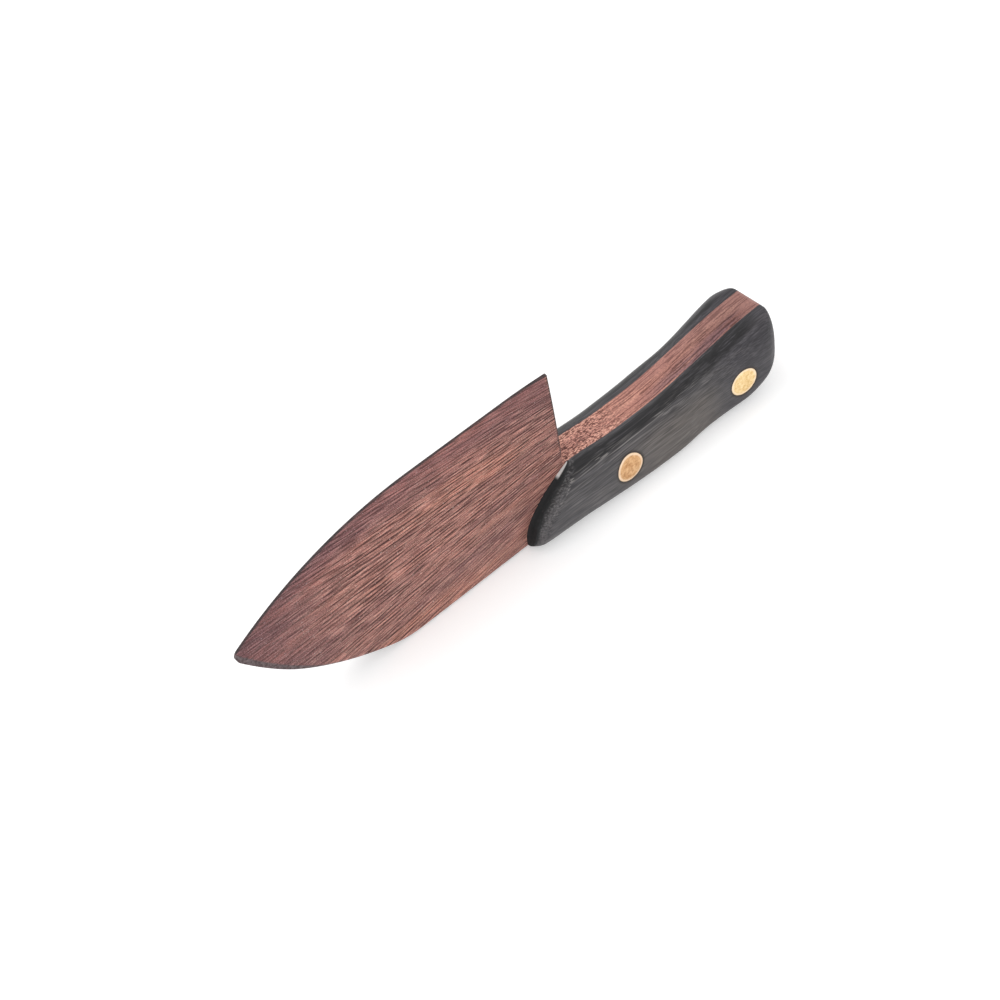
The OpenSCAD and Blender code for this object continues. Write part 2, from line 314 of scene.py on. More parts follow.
def piece(name, verts, faces, material, node):
    """A closed mesh with smooth faces and sharp corners, put in the place of a CAD node."""
    mesh = bpy.data.meshes.new(name)
    bm = bmesh.new()
    made = [bm.verts.new(v) for v in verts]
    for f in faces:
        if len(set(f)) > 2:
            bm.faces.new([made[i] for i in f])
    bmesh.ops.remove_doubles(bm, verts=bm.verts, dist=MERGE * MM)
    bmesh.ops.dissolve_degenerate(bm, edges=bm.edges, dist=SLIVER * MM)
    bmesh.ops.recalc_face_normals(bm, faces=bm.faces)
    bm.to_mesh(mesh)
    bm.free()
    mesh.shade_smooth()
    mesh.set_sharp_from_angle(angle=SHARP)
    mesh.materials.append(material)
    obj = bpy.data.objects.new(name, mesh)
    bpy.context.scene.collection.objects.link(obj)
    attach(obj, "root")
    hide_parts(node)
    return obj


def quads(columns, rows, index):
    """Faces of a grid whose vertex numbers come from index(column, row)."""
    return [(index(i, j), index(i + 1, j), index(i + 1, j + 1), index(i, j + 1))
            for i in range(columns - 1) for j in range(rows - 1)]


def bored(obj):
    """Cuts the two pin bores with an exact boolean, and keeps the result as the mesh."""
    r = PIN_D / 2 + PIN_GAP
    for x in PIN_X.values():
        bm = bmesh.new()
        bmesh.ops.create_cone(bm, cap_ends=True, segments=ROUND_STEPS, radius1=r * MM, radius2=r * MM,
                              depth=CUTTER_L * MM)
        bm.transform(Matrix.Translation(at(x, 0, PIN_Z)) @ Matrix.Rotation(math.pi / 2, 4, "X"))
        mesh = bpy.data.meshes.new("cutter")
        bm.to_mesh(mesh)
        bm.free()
        cutter = bpy.data.objects.new("cutter", mesh)
        bpy.context.scene.collection.objects.link(cutter)
        cut = obj.modifiers.new("bore", "BOOLEAN")
        cut.operation, cut.solver, cut.object = "DIFFERENCE", "EXACT", cutter
        graph = bpy.context.evaluated_depsgraph_get()
        done = bpy.data.meshes.new_from_object(obj.evaluated_get(graph))
        obj.modifiers.clear()
        obj.data = done
        bpy.data.objects.remove(cutter)
        bpy.data.meshes.remove(mesh)
    obj.data.name = obj.name
    obj.data.shade_smooth()
    obj.data.set_sharp_from_angle(angle=SHARP)


def mark(obj, name, value):
    """Stores value(x, y, z), taken at each vertex in millimetres from the heel, on the mesh."""
    layer = obj.data.attributes.new(name, "FLOAT", "POINT")
    for v in obj.data.vertices:
        layer.data[v.index].value = value(v.co.x / MM + MID_X, v.co.y / MM, v.co.z / MM)


# Pieces

def blade_rows():
    """Shares of the height, close together at spine and edge, and the row of the heel's fillet."""
    seam = (FILLET_C[1] + HEEL_FILLET * math.sin(HEEL_A)) / edge_over(0)
    low = SPINE_ROWS + spread(MIDDLE_ROWS, SPINE_ROWS[-1], seam)[1:]
    grind = spread(GRIND_ROWS, seam, EDGE_ROWS[0])[1:-1]
    return low + grind + EDGE_ROWS, len(low) - 1


def blade_columns():
    """Places along the blade, close together at the rounded tip and at the heel."""
    tip = [TIP_X + TIP_FINE * (1 - math.cos(a)) for a in spread(TIP_COLUMNS, 0, math.pi / 2)]
    return tip + spread(BLADE_COLUMNS, tip[-1], HEEL_COLUMNS[0])[1:] + HEEL_COLUMNS[1:]


def heel_lean(x):
    """Share of the heel's lean that a column of the blade's grid takes on."""
    return ease((x + HEEL_BLEND) / HEEL_BLEND)


def edge_over(x):
    """Height at which the grid's column that starts at x meets the edge."""
    z = edge_z(x)
    for _ in range(4):
        z = edge_z(x + heel_lean(x) * heel_x(z))
    return z


def blade_grid():
    """Side view points of the blade from tip to heel, as columns of (x, z)."""
    rows, seam = blade_rows()
    grid = []
    for x in blade_columns():
        low, high, lean = spine_z(x), edge_over(x), heel_lean(x)
        column = []
        for s in rows:
            z = mix(low, high, s)
            column.append((x + lean * heel_x(z), z))
        grid.append(column)
    return grid, seam


def tang_grid(first):
    """Side view points of the tang from the heel to the butt, joined to the blade's column."""
    low_x, high_x = first[0][0], first[-1][0]
    start = math.atan2(first[-1][1] - FILLET_C[1], first[-1][0] - FILLET_C[0]) % (2 * math.pi)
    fillet = [FILLET_C + HEEL_FILLET * Vector((math.cos(a), math.sin(a)))
              for a in spread(FILLET_COLUMNS, start, 1.5 * math.pi)[1:]]
    even = spread(TANG_COLUMNS, FILLET_C[0], HANDLE_L - TANG_FINE)[1:]
    round_end = [HANDLE_L - TANG_FINE * (1 - math.sin(a)) for a in spread(BUTT_COLUMNS, 0, math.pi / 2)[1:]]
    tops = [tuple(p) for p in fillet] + [(x, top_z(x)) for x in even + round_end]
    share = [p[1] / first[-1][1] for p in first]
    grid = []
    for x, z in tops:
        below = mix(low_x, x, ease((x - high_x) / TANG_BLEND))
        base = back_z(x)
        grid.append([(mix(below, x, s), mix(base, z, s)) for s in share])
    return grid


def make_blade(material):
    """Blade and tang as one board: both faces are grids, and a strip runs around the rim."""
    blade, seam = blade_grid()
    tang = tang_grid(blade[-1][:seam + 1])
    verts, faces = [], []
    number = {}

    def add(key, x, z, half):
        for side in (-1, 1):
            number[key + (side,)] = len(verts)
            verts.append(at(x, side * half, z))

    for i, column in enumerate(blade):
        for j, (x, z) in enumerate(column):
            add((i, j), x, z, half_thickness(x, z))
    n = len(blade)
    for i, column in enumerate(tang):
        for j, (x, z) in enumerate(column):
            add((n + i, j), x, z, HALF_T)

    rim = [(i, 0) for i in range(n + len(tang))]
    rim += [(n + len(tang) - 1, j) for j in range(1, seam + 1)]
    rim += [(i, seam) for i in range(n + len(tang) - 2, n - 1, -1)]
    rim += [(n - 1, j) for j in range(seam, len(blade[0]))]
    rim += [(i, len(blade[0]) - 1) for i in range(n - 2, -1, -1)]
    for side in (-1, 1):
        faces += quads(n, len(blade[0]), lambda i, j: number[(i, j, side)])
        faces += quads(len(tang) + 1, seam + 1, lambda i, j: number[(n - 1 + i, j, side)])
    for a, b in zip(rim, rim[1:]):
        faces.append((number[a + (-1,)], number[b + (-1,)], number[b + (1,)], number[a + (1,)]))
    obj = piece("blade_wood_body", verts, faces, material, "blade")
    bored(obj)
    mark_blade(obj)


def mark_blade(obj):
    """Marks the dark rim, the ways in from edge and spine, and the tang's bare top."""
    def rim_dark(x, _, z):
        if z < HEEL_H + RIM_OVER_FOOT and x > RIM_FOOT_X or x > RIM_BACK_X:
            return 0.0
        from_heel = abs(x - heel_x(z))
        return max(1 - clamp((to_edge(x, z) - LAND) / EDGE_RIM), 1 - clamp((from_heel - LAND) / HEEL_RIM))

    def edge_way(x, _, z):
        on_blade = x < 0 and z > BLADE_LOW_Z or x < BLADE_BACK_X
        return clamp(to_edge(x, z) / EDGE_ZONE) if on_blade else 1.0

    def spine_way(x, _, z):
        return clamp(to_spine(x, z) / SPINE_ZONE) if x < -NOSE_L else 1.0

    def tang_top(x, _, z):
        if x <= FILLET_C[0] - TANG_TOP_AHEAD or z >= TANG_TOP_HIGH:
            return 0.0
        return clamp((z - top_line(max(x, 0)) + TANG_TOP_LOW) / TANG_TOP_RISE)

    mark(obj, "rim_dark", rim_dark)
    mark(obj, "edge_way", edge_way)
    mark(obj, "spine_way", spine_way)
    mark(obj, "tang_top", tang_top)


def scale_grid():
    """Points of a scale's outside, as sections from nose to butt."""
    grid = []
    for s in spread(SCALE_COLUMNS, 0, 1):
        u = ease(s)
        x = mix(nose_x(0.5), HANDLE_L, u)
        grid.append([scale_point(u, q) for q in section(x, *SCALE_STEPS)])
    return grid


def make_scale(name, side, material, node):
    """A scale: its outside, the front face, the butt end, the glued face and the flat inner rim."""
    grid = scale_grid()
    rows, columns = len(grid[0]), len(grid)
    last = rows - 1
    verts = [at(x, side * y, z) for column in grid for x, y, z in column]
    inner = {}
    for j in range(1, last):
        x, _, z = grid[0][j]
        inner[j] = len(verts)
        verts.append(at(x, side * HALF_T, z))
    inner[0], inner[last] = 0, last
    end = (columns - 1) * rows
    faces = quads(columns, rows, lambda i, j: i * rows + j)
    faces += [tuple(dict.fromkeys((j, j + 1, inner[j + 1], inner[j]))) for j in range(last)]
    faces.append(tuple(end + j for j in range(rows)))
    faces.append(tuple(inner[j] for j in range(rows)))
    faces += [(i * rows, (i + 1) * rows, (i + 1) * rows + last, i * rows + last)
              for i in range(columns - 1)]
    return piece(name, verts, faces, material, node)


def front_way(x, z):
    """Distance of a scale's point from its front end."""
    low, high = scale_back_z(x), top_z(x)
    return x - nose_x(clamp((z - low) / (high - low)))


def mark_scale(obj):
    """Marks the front face, from its outer corner inward, and the way behind that corner."""
    def front_face(x, y, z):
        return 1.0 if abs(y) < HALF_T + TOUCH_SIDE and front_way(x, z) < TOUCH_FRONT else 0.0

    mark(obj, "front_face", front_face)
    mark(obj, "front_way", lambda x, _, z: clamp(front_way(x, z) / FRONT_ZONE))


def make_pin(name, material, node, surface):
    """A pin whose ends follow the scales' surface, with a fine rounded rim."""
    x0, r = PIN_X[node], PIN_D / 2
    around = ROUND_STEPS
    verts, faces = [], []

    def cap(side):
        first = len(verts)
        y = hit(surface, x0, PIN_Z, side)
        verts.append(at(x0, side * y, PIN_Z))
        for k in PIN_RINGS:
            for i in range(around):
                a = 2 * math.pi * i / around
                x, z = x0 + k * r * math.cos(a), PIN_Z + k * r * math.sin(a)
                fall = PIN_FALL * clamp((k - PIN_EDGE) / (1 - PIN_EDGE)) ** 2
                verts.append(at(x, side * (hit(surface, x, z, side) - fall), z))
        for i in range(around):
            faces.append((first, first + 1 + i, first + 1 + (i + 1) % around))
        for k in range(len(PIN_RINGS) - 1):
            for i in range(around):
                a, b = first + 1 + k * around, first + 1 + (k + 1) * around
                j = (i + 1) % around
                faces.append((a + i, b + i, b + j, a + j))
        return first + 1 + (len(PIN_RINGS) - 1) * around

    near, far = cap(-1), cap(1)
    for i in range(around):
        j = (i + 1) % around
        faces.append((near + i, near + j, far + j, far + i))
    piece(name, verts, faces, material, node)


def hit(surface, x, z, side):
    """Distance of the unbored scale's surface from the middle plane, at x and z."""
    start = at(x, side * RAY_FROM, z)
    point, _, _, _ = surface[side].ray_cast(start, Vector((0, -side, 0)))
    return abs(point.y) / MM


# Material helpers

class Shader:
    """A short way to write node materials: each call adds a node and returns its output."""

    def __init__(self, name):
        self.material = bpy.data.materials.new(name)
        self.material.use_nodes = True
        self.tree = self.material.node_tree
        self.tree.nodes.clear()
        out = self.tree.nodes.new("ShaderNodeOutputMaterial")
        self.bsdf = self.tree.nodes.new("ShaderNodeBsdfPrincipled")
        self.tree.links.new(self.bsdf.outputs[0], out.inputs[0])

    def put(self, socket, value):
        if isinstance(value, bpy.types.NodeSocket):
            self.tree.links.new(value, socket)
        else:
            socket.default_value = value

    def math(self, operation, a, b=0.0, clamped=False):
        n = self.tree.nodes.new("ShaderNodeMath")
        n.operation, n.use_clamp = operation, clamped
        self.put(n.inputs[0], a)
        self.put(n.inputs[1], b)
        return n.outputs[0]

    def plus(self, a, b):
        return self.math("ADD", a, b)

    def minus(self, a, b):
        return self.math("SUBTRACT", a, b)

    def times(self, first, *others):
        """Product of all the values."""
        for value in others:
            first = self.math("MULTIPLY", first, value)
        return first

    def most(self, first, *others):
        """Greatest of all the values."""
        for value in others:
            first = self.math("MAXIMUM", first, value)
        return first

    def share(self, part, a, b):
        """The given part of a and the rest of b."""
        return self.plus(self.times(a, part), self.times(b, 1 - part))

    def xyz(self):
        """Place on the object, in the frame's millimetres."""
        n = self.tree.nodes.new("ShaderNodeTexCoord")
        s = self.tree.nodes.new("ShaderNodeSeparateXYZ")
        self.tree.links.new(n.outputs["Object"], s.inputs[0])
        return [self.times(o, 1 / MM) for o in s.outputs]

    def vector(self, x, y, z):
        n = self.tree.nodes.new("ShaderNodeCombineXYZ")
        for socket, value in zip(n.inputs, (x, y, z)):
            self.put(socket, value)
        return n.outputs[0]

    def noise(self, vector, dimensions, detail, rough):
        n = self.tree.nodes.new("ShaderNodeTexNoise")
        n.noise_dimensions = dimensions
        self.put(n.inputs["Vector"], vector)
        n.inputs["Scale"].default_value = 1.0
        n.inputs["Detail"].default_value = detail
        n.inputs["Roughness"].default_value = rough
        return n.outputs["Fac"]

    def grain(self, p, scales, detail=2, rough=0.5):
        """Noise in space, with its own scale along each axis."""
        place = self.vector(*(self.times(c, k) for c, k in zip(p, scales)))
        return self.noise(place, "3D", detail, rough)

    def layers(self, x, layer, along, across, detail=0):
        """Noise drawn out along the grain, with the same value right across each layer of the board."""
        place = self.vector(self.times(x, along), self.times(layer, across), 0.0)
        return self.noise(place, "2D", detail, rough=0.5)

    def attribute(self, name):
        n = self.tree.nodes.new("ShaderNodeAttribute")
        n.attribute_name = name
        return n.outputs["Fac"]

    def between(self, value, low, high, smooth=True):
        """0 at low and past it, 1 at high and past it; low may be the greater of the two."""
        n = self.tree.nodes.new("ShaderNodeMapRange")
        n.interpolation_type = "SMOOTHSTEP" if smooth else "LINEAR"
        self.put(n.inputs["Value"], value)
        n.inputs["From Min"].default_value = low
        n.inputs["From Max"].default_value = high
        return n.outputs["Result"]

    def band(self, value, low, full, past, end):
        """1 between full and past, falling to 0 at low and end."""
        return self.times(self.between(value, low, full), self.between(value, end, past))

    def ramp(self, value, stops):
        n = self.tree.nodes.new("ShaderNodeValToRGB")
        self.put(n.inputs[0], value)
        points = n.color_ramp.elements
        while len(points) < len(stops):
            points.new(0.5)
        for e, (place, colour) in zip(points, stops):
            e.position = place
            e.color = srgb(colour)
        return n.outputs[0]

    def blend(self, kind, amount, a, b):
        """Colour a with b laid over it. b may be an 8-bit colour."""
        n = self.tree.nodes.new("ShaderNodeMix")
        n.data_type, n.blend_type = "RGBA", kind
        self.put(n.inputs[0], amount)
        self.put(n.inputs[6], a)
        self.put(n.inputs[7], b if isinstance(b, bpy.types.NodeSocket) else srgb(b))
        return n.outputs[2]

    def bump(self, height, distance_mm):
        n = self.tree.nodes.new("ShaderNodeBump")
        n.inputs["Strength"].default_value = 1.0
        n.inputs["Distance"].default_value = distance_mm * MM
        self.put(n.inputs["Height"], height)
        self.put(self.bsdf.inputs["Normal"], n.outputs[0])


def srgb(colour):
    """An 8-bit colour as linear light."""
    def line(c):
        c /= 255
        return c / 12.92 if c <= 0.04045 else ((c + 0.055) / 1.055) ** 2.4
    return tuple(line(c) for c in colour) + (1.0,)


def grey(level):
    """A neutral 8-bit colour."""
    return level, level, level


# The blade's wood. X, Y and Z places are in the frame's millimetres: where a mark starts and where it is
# full, and for a band also where it fades and where it ends. DARK_EDGE is in shares of EDGE_ZONE

# From one growth line to the next at the heel, how fast they part toward the tip, the height of the line
# that runs straight, and how far the layers lean across the board
GROWTH_LINE, FAN, FAN_Z, LAYER_LEAN = 0.9, 0.0075, 33.0, 0.6
# How far the growth lines wander, in radians of their wave
WANDER = 7.0
CALM_TIP_X, DARK_TIP_X, RIM_X = (-52.0, -86.0), (-58.0, -98.0), (-58.0, -92.0)
CALM_LOW_X, CALM_LOW_Z = (-60.0, -20.0), (26.0, 3.0)
DARK_EDGE = (0.35, 0.0)
BLADE_TONES = [(0.32, (159, 111, 107)), (0.45, (175, 122, 114)), (0.55, (189, 132, 120)),
               (0.68, (207, 147, 128))]
BLADE_MOTTLE = [(0.3, grey(58)), (0.7, grey(198))]
SPINE_SHADE_TONES = [(0.4, (66, 59, 61)), (0.7, (112, 102, 103))]
PALE_STREAK, PALE_SPECK = (226, 179, 162), (220, 194, 184)
DARK_LINE, THIN_LINE = (88, 68, 72), (104, 82, 84)
TIP_SHADE, EDGE_SHADE, RIM_DARK_LINE = (218, 220, 226), (204, 196, 212), (44, 41, 43)
BLADE_ROUGH, LINE_ROUGH, BLADE_SHEEN, LINE_DEPTH = 0.42, 0.2, 0.25, -0.05
# Width of the painted grey shade along the spine's rim, what it gains at the tip and how softly it ends, in
# shares of SPINE_ZONE
RIM_WIDTH, RIM_GAIN, RIM_SOFT = 0.12, 0.5, (-0.08, 0.1)

# The tang's bare top, with distances from the butt's end where they are named so
FLECK_X, REAR_SHADE_X = (46.0, 28.0), (44.0, 88.0)
PURPLE_X, PURPLE_Y = (40.0, 62.0, 84.0, 92.0), (0.6, -2.8)
LIGHT_X, LIGHT_Y = (34.0, 60.0), (-0.5, 3.0)
LIGHT_FROM_END, ROUND_FROM_END = (10.0, 3.0), (1.7, 1.2)
TANG_TONES = [(0.35, (168, 115, 103)), (0.5, (186, 132, 117)), (0.66, (205, 150, 132))]
TANG_MOTTLE = [(0.32, grey(118)), (0.68, grey(234))]
TANG_LINE, PURPLE, REAR_SHADE = (120, 88, 90), (116, 86, 92), (188, 188, 194)
FLECK_LIGHT, TANG_LIGHT, ROUND_END = (122, 90, 81), (114, 82, 77), (170, 132, 126)


def growth_lines(s, x, layer):
    """Dark lines of growth that wander a little and break off."""
    wander = s.times(s.layers(x, layer, along=0.04, across=0.4, detail=1), WANDER)
    wave = s.math("SINE", s.plus(s.times(layer, 2 * math.pi / GROWTH_LINE), wander))
    broken = s.between(s.layers(x, layer, along=0.12, across=1.7), 0.34, 0.54)
    return s.times(s.between(wave, -0.2, 0.8), broken)


def blade_grain(s, x, layer, strength):
    """Colour of the blade's wood with its lines and specks, and the depth of the lines."""
    zone = s.layers(x, layer, along=0.011, across=0.13, detail=2)
    streak = s.layers(x, layer, along=0.03, across=0.8, detail=1)
    dark = growth_lines(s, x, layer)
    thin = s.between(s.layers(x, layer, along=-0.17, across=4.2), 0.48, 0.58)
    pale = s.between(s.layers(x, layer, along=-0.14, across=3.8), 0.53, 0.6)
    mottle = s.ramp(s.layers(x, layer, along=2.6, across=4.4, detail=1), BLADE_MOTTLE)
    speck = s.between(s.layers(x, layer, along=1.3, across=2.4, detail=1), 0.74, 0.78)
    colour = s.ramp(s.share(0.8, zone, streak), BLADE_TONES)
    colour = s.blend("MIX", s.times(pale, 0.6), colour, PALE_STREAK)
    colour = s.blend("MULTIPLY", s.times(dark, strength, 0.9), colour, DARK_LINE)
    colour = s.blend("MULTIPLY", s.times(thin, strength, 0.5), colour, THIN_LINE)
    colour = s.blend("OVERLAY", 0.6, colour, mottle)
    colour = s.blend("MIX", s.times(speck, 0.5), colour, PALE_SPECK)
    return colour, s.most(s.times(dark, 0.8), thin)


def tang_grain(s, p):
    """Colour of the tang's top: redder, with flecks near the heel and a purple streak farther back."""
    x, y, _ = p
    from_end = s.minus(HANDLE_L - MID_X, x)
    front = s.between(x, *FLECK_X)
    fleck = s.between(s.grain(p, (0.7, 2.3, 0.8), detail=1, rough=0.6), 0.49, 0.59)
    line = s.between(s.grain(p, (0.09, 2.0, 0.7), detail=1, rough=0.6), 0.5, 0.58)
    dark = s.plus(s.times(fleck, front, 1.35), s.times(line, s.minus(1.0, front)))
    streak = s.between(s.grain(p, (0.04, 0.9, 0.3)), 0.32, 0.6)
    purple = s.times(s.between(y, *PURPLE_Y), s.band(x, *PURPLE_X), streak)
    mottle = s.ramp(s.grain(p, (1.5, 2.7, 1.0), detail=1), TANG_MOTTLE)
    left = s.times(s.between(y, *LIGHT_Y), s.between(x, *LIGHT_X))
    light = s.most(left, s.between(from_end, *LIGHT_FROM_END))
    colour = s.ramp(s.grain(p, (0.03, 0.35, 0.2), detail=3), TANG_TONES)
    colour = s.blend("SCREEN", s.times(front, 0.36), colour, FLECK_LIGHT)
    colour = s.blend("MULTIPLY", s.between(x, *REAR_SHADE_X), colour, REAR_SHADE)
    colour = s.blend("MIX", s.times(purple, 0.75), colour, PURPLE)
    colour = s.blend("MULTIPLY", s.times(dark, 0.64), colour, TANG_LINE)
    colour = s.blend("OVERLAY", s.plus(s.times(front, 0.55), 0.35), colour, mottle)
    colour = s.blend("SCREEN", s.times(light, 0.55), colour, TANG_LIGHT)
    return s.blend("MIX", s.times(s.between(from_end, *ROUND_FROM_END), 0.5), colour, ROUND_END)


def fanned(s, p):
    """The board's layer at a place. The layers part toward the tip."""
    x, y, z = p
    ahead = s.most(s.minus(-MID_X, x), 0.0)
    fan = s.plus(s.times(ahead, FAN), 1.0)
    return s.plus(s.math("DIVIDE", s.minus(z, FAN_Z), fan), s.times(y, LAYER_LEAN))


def spine_shade_band(s, x):
    """Painted grey shade along the spine's rounded rim, which widens toward the tip."""
    width = s.plus(s.times(s.between(x, *RIM_X, smooth=False), RIM_GAIN), RIM_WIDTH)
    return s.between(s.minus(width, s.attribute("spine_way")), *RIM_SOFT)


def blade_wood():
    """Red-brown hardwood whose grain fans toward the tip, with a dark line along the edge and the heel and
    painted shade along the spine's rim.
    """
    s = Shader("blade_wood")
    p = s.xyz()
    x, _, z = p
    layer = fanned(s, p)
    tip = s.between(x, *CALM_TIP_X)
    low = s.times(s.between(z, *CALM_LOW_Z), s.between(x, *CALM_LOW_X))
    edge = s.between(s.attribute("edge_way"), *DARK_EDGE)
    calm = s.most(tip, s.times(low, 0.7), s.times(edge, 0.8))
    gaps = s.times(tip, s.between(s.layers(x, layer, along=0.4, across=2.0, detail=1), 0.58, 0.4))
    strength = s.times(s.minus(1.0, s.times(calm, 0.5)), s.minus(1.0, s.times(gaps, 0.55)))
    dusk = s.most(edge, s.between(x, *DARK_TIP_X))
    spine_shade = s.ramp(s.grain(p, (1.2, 1.2, 1.2)), SPINE_SHADE_TONES)
    rim_mottle = s.math("ADD", s.times(s.grain(p, (0.3, 0.3, 0.3), detail=3), 0.5), 0.62, clamped=True)
    colour, lines = blade_grain(s, x, layer, strength)
    colour = s.blend("MULTIPLY", tip, colour, TIP_SHADE)
    colour = s.blend("MULTIPLY", s.times(dusk, 0.9), colour, EDGE_SHADE)
    # Painted grey shade on the spine's rounded rim, wider toward the tip.
    colour = s.blend("MIX", s.times(spine_shade_band(s, x), 0.85), colour, spine_shade)
    colour = s.blend("MIX", s.attribute("tang_top"), colour, tang_grain(s, p))
    # A mottled dark line along the cutting edge and the heel.
    colour = s.blend("MIX", s.times(s.attribute("rim_dark"), rim_mottle), colour, RIM_DARK_LINE)
    s.put(s.bsdf.inputs["Base Color"], colour)
    s.put(s.bsdf.inputs["Roughness"], s.plus(s.times(lines, LINE_ROUGH), BLADE_ROUGH))
    s.bsdf.inputs["Specular IOR Level"].default_value = BLADE_SHEEN
    s.bump(lines, LINE_DEPTH)
    return s.material


# The scales' wood. OUT is a distance from the middle plane and R one from a pin's axis. WAY is a share of
# FRONT_ZONE behind the front corner, and FACE a share of the front face's width from that corner inward

WARM_X, WARM_Z, COOL_X = (24.0, 48.0, 62.0, 74.0), (20.0, 13.0), (66.0, 80.0)
BLACK_INNER_OUT, BLACK_OUTER_OUT, BLACK_END_X = (5.6, 7.0), (9.6, 8.4), (93.0, 84.0)
# The black layer comes nearer to the tang on the side shown, and more so toward the butt
SHOWN_Y, REAR_X, NEARER, NEARER_REAR = (4.0, -4.0), (40.0, 70.0), 0.6, 1.2
PALE_LAYER_OUT, PALE_FROM_OUT = (8.0, 8.8, 9.8, 11.0), (6.6, 8.3)
PALE_X, PALE_WAY = (72.0, 56.0), (0.3, 0.7)
SHADE_BEHIND_WAY, DOT_HIGHLIGHT_WAY = (0.2, 0.0), (0.05, 0.16, 0.3, 0.6)
SHADE_FACE, GLINT_FACE, GLINT_Z = (0.0, 0.4), (0.38, 0.62), (19.2, 20.0, 22.0, 22.4)
RING_R = (5.9, 4.9)
SCALE_TONES = [(0.32, (58, 56, 59)), (0.5, (77, 75, 78)), (0.68, (96, 93, 94))]
SCALE_MOTTLE = [(0.32, grey(60)), (0.68, (196, 195, 194))]
WARM_GREY, COOL_SHADE, BLACK, PALE_LINE = (110, 102, 96), (236, 234, 240), (16, 15, 17), (140, 136, 134)
FRONT_SHADE, WEAR_DOT_HIGHLIGHT, PAINTED_GLINT, RING_BROWN = (27, 31, 32), (128, 125, 125), (222, 220, 218), (40, 30, 22)
SCALE_ROUGH, FINE_ROUGH, CUT_ROUGH, SCALE_SHEEN, FINE_DEPTH = 0.36, 0.2, 0.35, 0.32, 0.04


def scale_layers(s, p):
    """Colour of the scales' layers: black beside the top, then pale lines, then warm grey."""
    x, y, z = p
    out = s.math("ABSOLUTE", y)
    broad = s.grain(p, (0.012, 0.25, 0.1), detail=3)
    streak = s.grain(p, (0.016, 1.3, 0.7), detail=3, rough=0.6)
    hair = s.between(s.grain(p, (0.035, 3.6, 3.6), detail=0), 0.52, 0.64)
    warm = s.times(s.band(x, *WARM_X), s.between(z, *WARM_Z))
    nearer = s.plus(s.times(s.between(x, *REAR_X), NEARER_REAR), NEARER)
    inner = s.plus(out, s.times(s.between(y, *SHOWN_Y), nearer))
    black = s.times(s.between(inner, *BLACK_INNER_OUT), s.between(out, *BLACK_OUTER_OUT))
    black = s.times(black, s.between(streak, 0.34, 0.5), s.between(x, *BLACK_END_X))
    pale = s.most(s.times(s.band(out, *PALE_LAYER_OUT), hair), s.times(hair, 0.38))
    pale = s.times(pale, s.between(x, *PALE_X), s.between(out, *PALE_FROM_OUT))
    pale = s.times(pale, s.between(s.attribute("front_way"), *PALE_WAY))
    colour = s.ramp(s.share(0.45, broad, streak), SCALE_TONES)
    colour = s.blend("MIX", s.times(warm, 0.6), colour, WARM_GREY)
    colour = s.blend("MULTIPLY", s.between(x, *COOL_X), colour, COOL_SHADE)
    colour = s.blend("MIX", s.times(black, 0.82), colour, BLACK)
    return s.blend("MIX", s.times(pale, 0.62), colour, PALE_LINE)


def scale_front(s, p, cut, colour):
    """The colour with painted shade on the front face, pale dots of wear behind its corner that also paint
    a highlight there, and a painted glint high on the face.
    """
    dots = s.between(s.grain(p, (1.3, 1.3, 2.6), rough=0.7), 0.44, 0.64)
    # Pale dots of wear behind the front corner, which also paint the corner's highlight.
    worn = s.times(s.band(s.attribute("front_way"), *DOT_HIGHLIGHT_WAY), dots)
    # Painted glint: a pale sliver high on the front face, beside the blade.
    glint = s.times(s.between(s.attribute("front_face"), *GLINT_FACE), s.band(p[2], *GLINT_Z))
    # Painted shade over the front face and just behind its corner.
    colour = s.blend("MIX", s.times(cut, 0.8), colour, FRONT_SHADE)
    colour = s.blend("MIX", s.times(worn, 0.35), colour, WEAR_DOT_HIGHLIGHT)
    return s.blend("MIX", s.times(glint, 0.9), colour, PAINTED_GLINT)


def from_pin(s, p, place):
    """Distance from the axis of the pin at that place."""
    along, up = s.minus(p[0], place - MID_X), s.minus(p[2], PIN_Z)
    return s.math("SQRT", s.plus(s.times(along, along), s.times(up, up)))


def scale_wood():
    """Near-black hardwood in layers, with painted shade on its front face and a brown line of glue around
    each pin.
    """
    s = Shader("scale_wood")
    p = s.xyz()
    fine = s.grain(p, (0.13, 3.0, 3.0), detail=1, rough=0.6)
    # Painted shade: the front face and the zone just behind its corner are darkened; the same mask raises
    # the roughness.
    behind = s.times(s.between(s.attribute("front_way"), *SHADE_BEHIND_WAY), 0.8)
    cut = s.most(s.between(s.attribute("front_face"), *SHADE_FACE), behind)
    colour = s.blend("OVERLAY", 0.6, scale_layers(s, p), s.ramp(fine, SCALE_MOTTLE))
    colour = scale_front(s, p, cut, colour)
    for place in PIN_X.values():
        ring = s.between(from_pin(s, p, place), *RING_R)
        colour = s.blend("MIX", s.times(ring, 0.8), colour, RING_BROWN)
    s.put(s.bsdf.inputs["Base Color"], colour)
    rough = s.plus(s.times(fine, FINE_ROUGH), SCALE_ROUGH)
    s.put(s.bsdf.inputs["Roughness"], s.plus(rough, s.times(cut, CUT_ROUGH)))
    s.bsdf.inputs["Specular IOR Level"].default_value = SCALE_SHEEN
    s.bump(fine, FINE_DEPTH)
    return s.material


# The pins' brass, with a painted brighter reflection at the rear pin

REFLECTION_X, PIN_HIGHLIGHT_R, PIN_RIM_HIGHLIGHT = (40.0, 70.0), (3.8, 4.3, 5.5, 7.0), (248, 226, 200)
BRASS_TONES = [(0.36, (176, 128, 84)), (0.5, (208, 163, 118)), (0.64, (232, 196, 152))]
REFLECTION_TONES = [(0.36, (216, 178, 116)), (0.5, (240, 210, 156)), (0.64, (252, 234, 192))]
BRASS_ROUGH, SCRATCH_ROUGH, BRASS_DEPTH = 0.34, 0.25, 0.02


